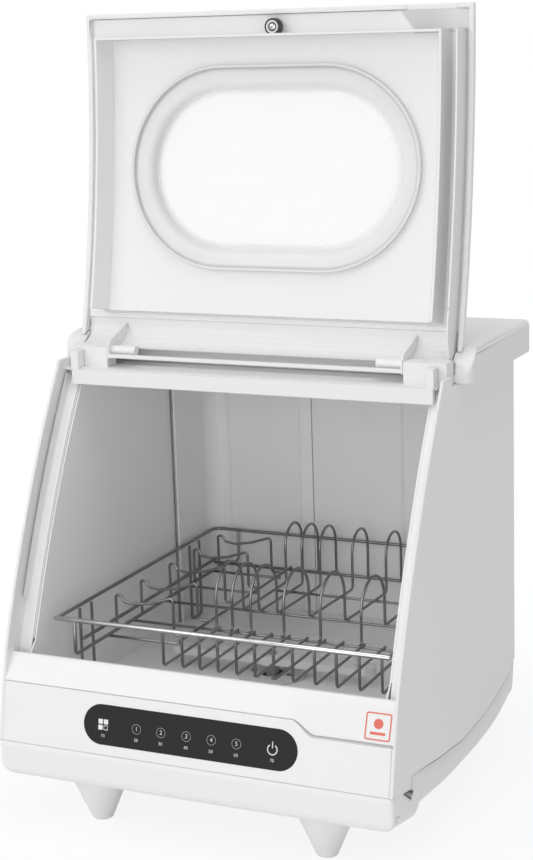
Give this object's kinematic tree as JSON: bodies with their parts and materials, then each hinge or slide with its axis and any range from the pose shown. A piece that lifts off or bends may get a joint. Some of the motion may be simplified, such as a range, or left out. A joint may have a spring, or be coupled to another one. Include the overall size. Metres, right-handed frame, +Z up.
{
  "type": "countertop dishwasher",
  "caption": "Free-standing countertop dishwasher with a curved lid that swings up, an oval window, a lift-out wire basket, a spray arm and cone-shaped feet.",
  "frame": {"origin": "middle of the footprint, on the surface the feet stand on", "axes": "+X to the right seen from the front, +Y to the back, +Z up"},
  "size_m": [0.448, 0.462, 0.791],
  "materials": {
    "white_abs": "satin",
    "cover_white": "satin",
    "tub_grey": "satin",
    "panel_black": "gloss",
    "window_clear": "gloss",
    "ring_white": "gloss",
    "wire_steel": "polished",
    "dark_plastic": "matte",
    "grey_plastic": "matte",
    "clear_plastic": "gloss",
    "rubber_dark": "matte",
    "steel": "brushed",
    "board_green": "matte",
    "valve_blue": "matte"
  },
  "bodies": {
    "cabinet": {"body_shell": "white_abs", "rear_housing": "white_abs", "top_cover": "cover_white", "front_fascia": "white_abs", "control_panel": "panel_black", "control_board": "board_green", "base_pan": "white_abs", "feet": "white_abs", "foot_pads": "rubber_dark", "tub": "tub_grey", "tub_frame": "white_abs", "sill_seal": "rubber_dark", "sump": "dark_plastic", "spray_post": "grey_plastic", "wash_volute": "dark_plastic", "wash_motor": "steel", "wash_pipe": "grey_plastic", "drain_pump": "dark_plastic", "drain_pipe": "grey_plastic", "drain_spigot": "dark_plastic", "inlet_valve": "valve_blue", "inlet_pipe": "grey_plastic", "inlet_port": "grey_plastic", "cord_gland": "dark_plastic", "heater": "steel", "float_guide": "grey_plastic", "float_switch": "dark_plastic", "lid_switch": "dark_plastic", "fan_housing": "dark_plastic", "rear_vent": "grey_plastic", "case_screws": "steel"},
    "lid": {"lid_shell": "white_abs", "lid_liner": "white_abs", "lid_window": "window_clear", "window_ring": "ring_white", "lid_magnet": "steel", "hinge_pins": "white_abs"},
    "basket": {"basket_frame": "wire_steel", "basket_floor": "wire_steel", "plate_rack_front": "wire_steel", "plate_rack_rear": "wire_steel", "cup_rails": "wire_steel", "basket_legs": "wire_steel"},
    "spray": {"spray_arm": "clear_plastic"},
    "impeller": {"wash_impeller": "clear_plastic"},
    "drain_wheel": {"drain_rotor": "clear_plastic"},
    "fan": {"fan_rotor": "dark_plastic"},
    "float_piece": {"float": "clear_plastic"},
    "filter": {"filter_cup": "steel", "filter_ring": "clear_plastic"}
  },
  "joints": [
    {"name": "lid_hinge", "type": "hinge", "parent": "cabinet", "child": "lid", "pos_m": [0, -0.0535, 0.4545], "axis": [-1, 0, 0], "range_deg": [-162, 0]},
    {"name": "basket_slide", "type": "slide", "parent": "cabinet", "child": "basket", "axis": [0, -0.7071, 0.7071], "range_m": [0, 0.15]},
    {"name": "spray_spin", "type": "hinge", "parent": "cabinet", "child": "spray", "pos_m": [-0.014, -0.003, 0.1215], "axis": [0, 0, 1], "continuous": true},
    {"name": "impeller_spin", "type": "hinge", "parent": "cabinet", "child": "impeller", "pos_m": [0.05, -0.003, 0.0755], "axis": [1, 0, 0], "continuous": true},
    {"name": "drain_spin", "type": "hinge", "parent": "cabinet", "child": "drain_wheel", "pos_m": [-0.095, 0.009, 0.0755], "axis": [0, 1, 0], "continuous": true},
    {"name": "fan_spin", "type": "hinge", "parent": "cabinet", "child": "fan", "pos_m": [0, 0.213, 0.3585], "axis": [0, 1, 0], "continuous": true},
    {"name": "float_rise", "type": "slide", "parent": "cabinet", "child": "float_piece", "axis": [0, 0, 1], "range_m": [0, 0.008]},
    {"name": "filter_turn", "type": "hinge", "parent": "cabinet", "child": "filter", "pos_m": [-0.014, -0.003, 0.1035], "axis": [0, 0, 1], "range_deg": [0, 40]}
  ]
}
